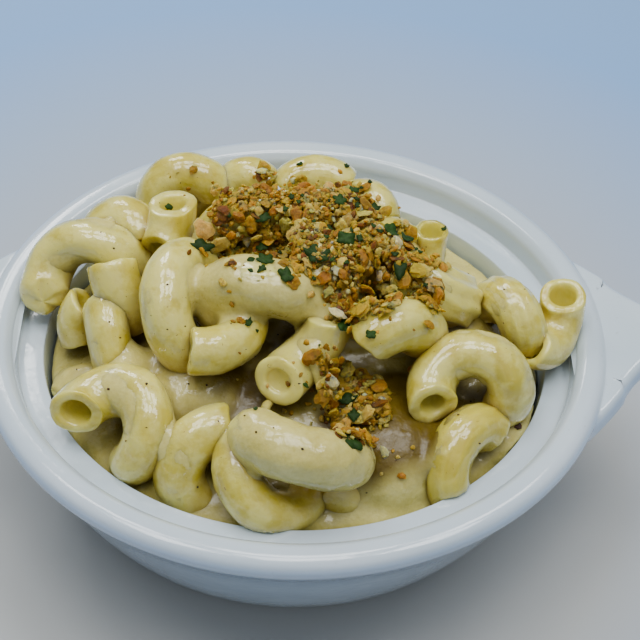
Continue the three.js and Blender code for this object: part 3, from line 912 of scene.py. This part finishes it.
# Where the toasted crumbs lie: the middle of each bed, its half length and half width, and how
# many fall on it, before CRUMB_SHARE.
CRUMB_BEDS = [
    (-13.8, 8.6, 57.1, 3.5, 4.3, 110), (-10.3, 12.5, 60.9, 4.8, 3.2, 130),
    (-5.4, 15.5, 61.0, 5.2, 3.6, 140), (0.7, 12.9, 62.2, 5.5, 3.4, 170),
    (7.2, 12.5, 61.4, 5.2, 4.0, 190), (12.5, 12.9, 58.5, 3.4, 4.0, 120),
    (-8.9, 9.8, 57.2, 4.1, 2.4, 80), (-1.6, 8.5, 60.0, 5.5, 3.0, 150),
    (4.2, 1.1, 62.1, 4.4, 3.7, 160), (9.4, 1.4, 60.9, 4.4, 4.1, 180),
    (14.8, 3.1, 59.3, 3.7, 3.9, 150), (18.9, 7.1, 57.0, 2.2, 2.2, 50),
    (9.9, -3.5, 57.4, 4.8, 4.3, 190), (16.5, 0.1, 55.4, 4.1, 3.9, 160),
    (20.5, -2.4, 55.5, 3.0, 3.2, 90), (24.3, -4.3, 53.5, 2.0, 3.0, 40),
    (13.5, -8.6, 56.6, 4.4, 2.4, 100), (8.8, -9.7, 55.0, 3.0, 2.0, 50),
    (6.1, -14.9, 46.8, 3.3, 2.4, 70), (9.2, -15.4, 41.6, 4.1, 3.0, 110),
    (13.1, -17.1, 41.4, 3.7, 3.3, 110), (10.4, -21.1, 41.7, 4.1, 2.6, 100),
    (14.2, -23.8, 43.5, 2.6, 2.2, 45), (5.5, -19.9, 42.3, 1.5, 3.0, 24),
    (10.5, -31.3, 47.9, 3.3, 1.7, 40), (7.3, -23.9, 39.7, 2.6, 1.5, 24),
    (0.2, -2.7, 60.7, 3.0, 1.5, 6), (-11.5, -4.4, 63.1, 1.5, 0.9, 8),
    (26.7, 2.8, 57.3, 1.7, 1.3, 6), (20.6, 16.0, 52.9, 1.5, 1.1, 14),
    (-7.4, 32.8, 50.7, 2.2, 1.1, 10), (10.8, 24.8, 53.1, 3.2, 2.5, 26),
    (0, 23, 56, 12, 5, 120), (3, 0, 60, 22, 26, 70), (18, -33, 42, 4, 4, 5),
    (-22, 28, 50, 6, 5, 8), (-6, 3.5, 60, 5, 2.4, 70), (1, 5, 61, 4, 3, 90),
    (22, 1, 57, 3, 3, 50), (12, 20, 54, 5, 4, 60), (-12, 20, 56, 6, 3, 60),
]
FALL = Vector((0, 0.42, -0.91))  # the way the crumbs were strewn
FALL_LENGTH = 40
CRUMB_TINTS = [
    (srgb(172, 132, 26), 0.32), (srgb(148, 105, 16), 0.29), (srgb(190, 163, 74), 0.27),
    (srgb(106, 66, 12), 0.08), (srgb(208, 196, 138), 0.04),
]
CRUMB_SHARE = 1.45  # how many fall for each one that the beds list
CRUMB_SIZES = (0.32, 2.1, 2.0)  # half lengths: the least, the rate of the rest, and the most
LUMP_SIZE = 1.0  # larger crumbs have more faces
PILE_HEIGHT = 2.8  # as high as crumbs pile up
CELL = 0.8  # the grid on which the pile of crumbs grows
PARSLEY_GREEN = (38, 66, 20)
PEPPER_BROWN = (52, 38, 26)


def pick_tint(rng):
    chance = rng.random()
    for tint, share in CRUMB_TINTS:
        if chance < share:
            break
        chance -= share
    return tuple(c * rng.uniform(0.85, 1.12) for c in tint)


def crumb_starts(rng):
    """The places that the crumbs fall from, in mixed order."""
    drops = []
    across = Vector((1, 0, 0))
    upward = across.cross(FALL).normalized()
    for x, y, z, half_u, half_v, count in CRUMB_BEDS:
        for _ in range(round(count * CRUMB_SHARE)):
            reach, angle = 1.15 * rng.random() ** 0.55, rng.uniform(0, 2 * math.pi)
            drops.append(Vector((x, y, z)) + across * half_u * reach * math.cos(angle)
                         + upward * half_v * reach * math.sin(angle) - FALL * FALL_LENGTH)
    rng.shuffle(drops)
    return drops


def make_crumbs(surface):
    """The crumbs, each fallen on the food and piled up on those that came before it."""
    rng = random.Random(21)
    pile = Pile()
    heights = {}
    least, rate, most = CRUMB_SIZES
    for start in crumb_starts(rng):
        size = min(least + rng.expovariate(rate), most)
        flat = rng.uniform(0.45, 0.8) if size < 0.9 else rng.uniform(0.22, 0.45)
        found = surface.hit(start, FALL)
        if not found:
            continue
        place, normal = found
        cell = (round(place.x / CELL), round(place.y / CELL))
        base = heights.get(cell, 0.0)
        if base > PILE_HEIGHT:
            continue
        lean = Vector((rng.gauss(0, 0.4), rng.gauss(0, 0.4), 0)) + normal
        turn = Vector((0, 0, 1)).rotation_difference(lean).to_matrix()
        turn = turn @ Matrix.Rotation(rng.uniform(0, 2 * math.pi), 3, "Z")
        rise = (normal - FALL).normalized()
        middle = place + rise * (base + size * flat * 0.3)
        points, faces = shard(rng, size, flat)
        points = [turn @ p + middle for p in points]
        if max(p.z for p in points) > CRUMB_TOP:
            continue
        pile.add(points, faces, pick_tint(rng))
        reach = int(size * 0.8 / CELL)
        for i in range(-reach, reach + 1):
            for j in range(-reach, reach + 1):
                key = (cell[0] + i, cell[1] + j)
                heights[key] = max(heights.get(key, 0.0), base + size * flat * 0.7)
    return pile.make("crumbs", toast, False)


# Parsley flakes: place and half length; small ones are scattered after them.
FLAKES = [
    (-18.1, 4.2, 2.1), (-7.8, -4.9, 2.1), (-6.2, -3.4, 1.6), (-2.4, -7.0, 1.6), (3.3, -1.2, 2.4),
    (8.6, 2.4, 1.8), (1.6, 28.5, 2.3), (-4.4, 30.0, 1.2), (8.5, -12.2, 2.0), (9.6, -34.6, 2.0),
    (7.6, 12.7, 1.4), (-6.8, 9.0, 1.5), (-6.8, 6.5, 1.3), (17.2, 7.0, 1.6), (20.6, 7.6, 1.4),
    (10.6, 18.0, 1.1), (15.0, 20.0, 1.2), (9.3, -20.5, 1.8), (10.4, -25.0, 1.3), (-25.6, 19.0, 1.0),
    (18.7, -1.9, 1.8), (13.0, -16.0, 1.0), (-9.0, -12.0, 1.0),
]
FLAKE_SIDES = 24
FLAKE_HALF = 0.13  # half a flake's thickness in its middle
SMALL_FLAKES = 46


def flake_points(size, lobes, phase, narrow, curl):
    """A lobed leaf lying flat: two rings of points on top, two below, and both middles."""
    rise = 0.15 + 0.06 * size
    top, low = [], []
    for ring in (0.5, 1.0):
        half = FLAKE_HALF * (1 - 0.5 * ring)
        for j in range(FLAKE_SIDES):
            a = 2 * math.pi * j / FLAKE_SIDES
            edge = 1 + 0.16 * math.cos(lobes * a + phase) + 0.08 * math.cos(2 * lobes * a)
            u, v = ring * edge * size * math.cos(a), ring * edge * size * narrow * math.sin(a)
            lift = curl * (u * u) / size + 0.12 * size * math.cos(lobes * a + phase) * ring + rise
            top.append((u, v, lift + half))
            low.append((u, v, lift - half))
    return top + low + [(0, 0, rise + FLAKE_HALF), (0, 0, rise - FLAKE_HALF)]


def flake_faces():
    """A fan and a band on each side of a flake, and the band round its edge."""
    sides = FLAKE_SIDES
    faces = []
    for first, hub, step in ((0, 4 * sides, 1), (2 * sides, 4 * sides + 1, -1)):
        for j in range(sides):
            k = (j + 1) % sides
            faces.append((hub, first + j, first + k)[::step])
            faces.append((first + j, first + sides + j, first + sides + k, first + k)[::step])
    for j in range(sides):
        k = (j + 1) % sides
        faces.append((sides + j, 3 * sides + j, 3 * sides + k, sides + k))
    return faces


def flake_place(surface, x, y, size):
    """Where a flake lies: no lower than the food round it, with steep drops left out."""
    found = surface.drop(x, y)
    if not found:
        return None
    place = found[0]
    ring = [surface.drop(x + size * 0.6 * math.cos(a), y + size * 0.6 * math.sin(a))
            for a in range(6)]
    ring = [spot[0].z for spot in ring if spot and abs(spot[0].z - place.z) < 1.5]
    if ring:
        place.z = max(place.z, sum(ring) / len(ring) + 0.2)
    return place


def make_parsley(surface, heap):
    """Leaf flakes on top of everything, lying nearly flat on the heap."""
    rng = random.Random(5)
    pile = Pile()
    rows = FLAKES + [(rng.gauss(4, 9), rng.gauss(8, 12), rng.uniform(0.35, 0.8))
                     for _ in range(SMALL_FLAKES)]
    for x, y, size in rows:
        place = flake_place(surface, x, y, size)
        if place is None:
            continue
        shape = (rng.randrange(3, 6), rng.uniform(0, 6), rng.uniform(0.6, 0.9),
                 rng.uniform(-0.25, 0.3))
        lean = heap.drop(x, y)[1] * 0.6 + Vector((rng.gauss(0, 0.1), rng.gauss(-0.1, 0.1), 0.9))
        turn = Vector((0, 0, 1)).rotation_difference(lean).to_matrix()
        turn = turn @ Matrix.Rotation(rng.uniform(0, 6.28), 3, "Z")
        points = sunk([turn @ Vector(p) + place for p in flake_points(size, *shape)])
        shade = rng.uniform(0.55, 1.1)
        pile.add(points, flake_faces(), tuple(c * shade for c in srgb(*PARSLEY_GREEN)))
    return pile.make("parsley", leaf, True)


def make_pepper(surface):
    """Ground pepper, here and there on the food."""
    rng = random.Random(8)
    pile = Pile()
    spots = [(42.1, -17.7, 31.5, 0.9), (-27, -22, 50, 0.3), (-35, -6, 47, 0.3), (-33, -9, 47, 0.25)]
    spots += [(rng.uniform(-44, 44), rng.uniform(-40, 36), 45, rng.uniform(0.14, 0.3))
              for _ in range(70)]
    for x, y, z, size in spots:
        found = surface.hit(Vector((x, y, z)) - FALL * FALL_LENGTH, FALL)
        if not found or inset_of(x, y) < 13:
            continue
        place, normal = found
        points, faces = shard(rng, size, 0.7)
        pile.add(sunk([p + place + normal * size * 0.2 for p in points]), faces,
                 tuple(c * rng.uniform(0.7, 1.5) for c in srgb(*PEPPER_BROWN)))
    return pile.make("pepper", toast, False)


# ------------------------------------------------------------------ putting it together

dish = make_dish()
noodles = make_noodles()
sauce = make_sauce()
heap = Surface(noodles, sauce)
# Painted shade: how closed in each point is from above, kept on the meshes for the materials to
# darken.
mark_painted_shade(noodles, heap)
mark_painted_shade(sauce, heap, SHADE_SPOTS)
crumbs = make_crumbs(heap)
parsley = make_parsley(Surface(noodles, sauce, crumbs), heap)
pepper = make_pepper(heap)

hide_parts("dish")
for piece in (noodles, sauce, crumbs, parsley, pepper):
    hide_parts("macaroni")
for piece in (dish, noodles, sauce, crumbs, parsley, pepper):
    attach(piece, "root")

# ------------------------------------------------------------------ floor, light and camera


def floor_material():
    """Pale blue, and paler grey in a wide soft round under the dish."""
    m = Nodes("floor")
    m.set(Roughness=0.7)
    reach = m.add("ShaderNodeVectorMath", operation="LENGTH")
    m.link(m.place, reach.inputs[0])
    m.connect(Base_Color=m.ramp(reach.outputs["Value"], (0.07, srgb(174, 176, 175)),
                                (0.16, srgb(122, 163, 214))))
    return m.material


FLOOR_HALF = 4000
floor = new_object("floor", [(-FLOOR_HALF, -FLOOR_HALF, 0), (FLOOR_HALF, -FLOOR_HALF, 0),
                             (FLOOR_HALF, FLOOR_HALF, 0), (-FLOOR_HALF, FLOOR_HALF, 0)],
                   [(0, 1, 2, 3)], floor_material())


def area_light(name, place, target, size, power, colour):
    """A soft light in millimetres, turned towards its target."""
    light = bpy.data.lights.new(name, "AREA")
    light.shape = "RECTANGLE"
    light.size, light.size_y = size[0] * MM, size[1] * MM
    light.energy = power
    light.color = colour
    obj = linked(name, light)
    obj.location = Vector(place) * MM
    obj.rotation_mode = "QUATERNION"
    obj.rotation_quaternion = (Vector(target) - Vector(place)).to_track_quat("-Z", "Y")


DAYLIGHT = (1.0, 0.99, 0.96)
WARM = (1.0, 0.97, 0.92)

# A grid of panes overhead, two tall panes behind to the left, and a weak light from the front.
for column in range(3):
    for row in range(2):
        area_light(f"pane_{column}_{row}", (-230 + 250 * column, -90 + 250 * row, 700), (0, 0, 40),
                   (180, 190), 1.0, DAYLIGHT)
for pane in range(2):
    area_light(f"window_{pane}", (-260 + 110 * pane, 420, 420), (0, 0, 40), (80, 200), 0.6,
               DAYLIGHT)
area_light("fill", (300, -520, 420), (0, 0, 30), (500, 400), 0.25, WARM)


def make_world():
    """A sky that is grey at the horizon and pale blue overhead."""
    world = bpy.data.worlds.new("studio")
    world.use_nodes = True
    tree = world.node_tree
    backdrop = next(n for n in tree.nodes if n.type == "BACKGROUND")
    ways = tree.nodes.new("ShaderNodeTexCoord")
    split = tree.nodes.new("ShaderNodeSeparateXYZ")
    sky = tree.nodes.new("ShaderNodeValToRGB")
    stops = ((0.0, (0.24, 0.26, 0.29, 1)), (0.8, (0.8, 0.87, 0.96, 1)))
    for element, (position, colour) in zip(sky.color_ramp.elements, stops):
        element.position, element.color = position, colour
    tree.links.new(ways.outputs["Generated"], split.inputs["Vector"])
    tree.links.new(split.outputs["Z"], sky.inputs["Fac"])
    tree.links.new(sky.outputs["Color"], backdrop.inputs["Color"])
    backdrop.inputs["Strength"].default_value = 0.48
    return world


def make_camera():
    """The photo's view, as solved from the ovals of the dish."""
    camera = linked("camera", bpy.data.cameras.new("camera"))
    right, up = Vector((0.99928, -0.00710, 0.03728)), Vector((-0.01932, 0.75044, 0.66065))
    view = Matrix((right, up, right.cross(up))).transposed().to_4x4()
    view.translation = Vector((-4.366, -179.906, 247.365)) * MM
    camera.matrix_world = view
    camera.data.sensor_width = 36
    camera.data.lens = 78.89
    camera.data.clip_start = 0.01
    return camera


bpy.context.scene.world = make_world()
bpy.context.scene.camera = make_camera()
